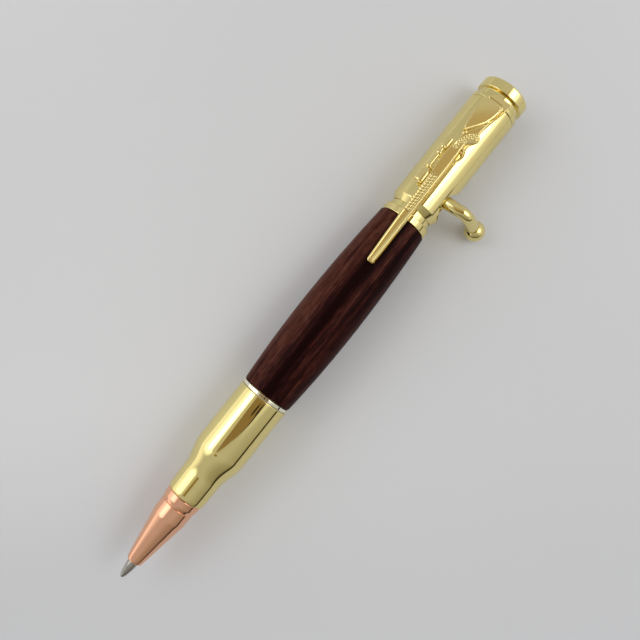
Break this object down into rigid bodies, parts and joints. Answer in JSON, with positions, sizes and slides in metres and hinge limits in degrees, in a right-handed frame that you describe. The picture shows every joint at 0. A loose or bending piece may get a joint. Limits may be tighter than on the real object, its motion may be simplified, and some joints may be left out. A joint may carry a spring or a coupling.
{
  "type": "bolt-action ballpoint pen",
  "caption": "Ballpoint pen with a turned wood barrel, a cartridge-shaped metal front, a bolt handle that draws the refill in and a clip shaped as a scoped rifle.",
  "frame": {"origin": "centre of the cap's flat end face", "axes": "+X along the pen's axis, from the writing tip towards the cap; +Z towards the clip; the bolt handle is on the -Y side"},
  "size_m": [0.1398, 0.0235, 0.0151],
  "materials": {
    "nib_cone": "polished copper plate",
    "cartridge_shell": "polished gold plate",
    "lower_trim_ring": "polished gold plate",
    "wood_barrel": "dark figured hardwood, glossy finish",
    "barrel_tube": "plain",
    "lower_coupler": "plain, threaded",
    "upper_coupler": "gold plate, threaded",
    "upper_trim_ring": "polished gold plate",
    "bolt_housing": "polished gold plate",
    "housing_plug": "plain, threaded",
    "clip_ring": "polished gold plate",
    "end_cap": "polished gold plate",
    "clip": "cast relief, gold plate",
    "bolt_plunger": "polished gold plate",
    "bolt_handle": "polished gold plate",
    "thrust_cup": "moulded",
    "refill_nose": "nickel silver, turned",
    "writing_ball": "hard metal ball",
    "refill_body": "drawn metal tube",
    "refill_end_plug": "moulded",
    "return_spring": "spring wire"
  },
  "bodies": {
    "barrel": {"wood_barrel": "wood_barrel", "barrel_tube": "barrel_tube", "lower_coupler": "lower_coupler", "lower_trim_ring": "lower_trim_ring", "upper_coupler": "upper_coupler", "upper_trim_ring": "upper_trim_ring", "bolt_housing": "bolt_housing", "housing_plug": "housing_plug", "clip_ring": "clip_ring", "end_cap": "end_cap"},
    "carriage": {"refill_body": "refill_body", "refill_nose": "refill_nose", "writing_ball": "writing_ball", "refill_end_plug": "refill_end_plug", "thrust_cup": "thrust_cup"},
    "bolt": {"bolt_plunger": "bolt_plunger", "bolt_handle": "bolt_handle"},
    "spring": {"return_spring": "return_spring"},
    "front": {"cartridge_shell": "cartridge_shell", "nib_cone": "nib_cone"},
    "clip": {"clip": "clip"}
  },
  "joints": [
    {"name": "bolt_slide", "type": "slide", "parent": "barrel", "child": "carriage", "axis": [1, 0, 0], "range_m": [0, 0.0055], "deforming": ["return_spring"]},
    {"name": "bolt_turn", "type": "hinge", "parent": "carriage", "child": "bolt", "pos_m": [-0.0284, 0, 0], "axis": [1, 0, 0], "range_deg": [0, 65]},
    {"name": "front_draw", "type": "slide", "parent": "barrel", "child": "spring", "axis": [-1, 0, 0], "range_m": [0, 0.003]},
    {"name": "front_turn", "type": "hinge", "parent": "spring", "child": "front", "pos_m": [-0.0885, 0, 0], "axis": [-1, 0, 0], "range_deg": [0, 1440]},
    {"name": "clip_flex", "type": "hinge", "parent": "barrel", "child": "clip", "pos_m": [-0.0042, 0, 0.0069], "axis": [0, 1, 0], "range_deg": [0, 2.5], "stiffness_Nm_per_rad": 0.5}
  ],
  "couplings": [
    {"joint": "bolt_turn", "follows": "bolt_slide", "rad_per_m": 206.2},
    {"joint": "front_draw", "follows": "front_turn", "m_per_rad": 0.00011936}
  ]
}
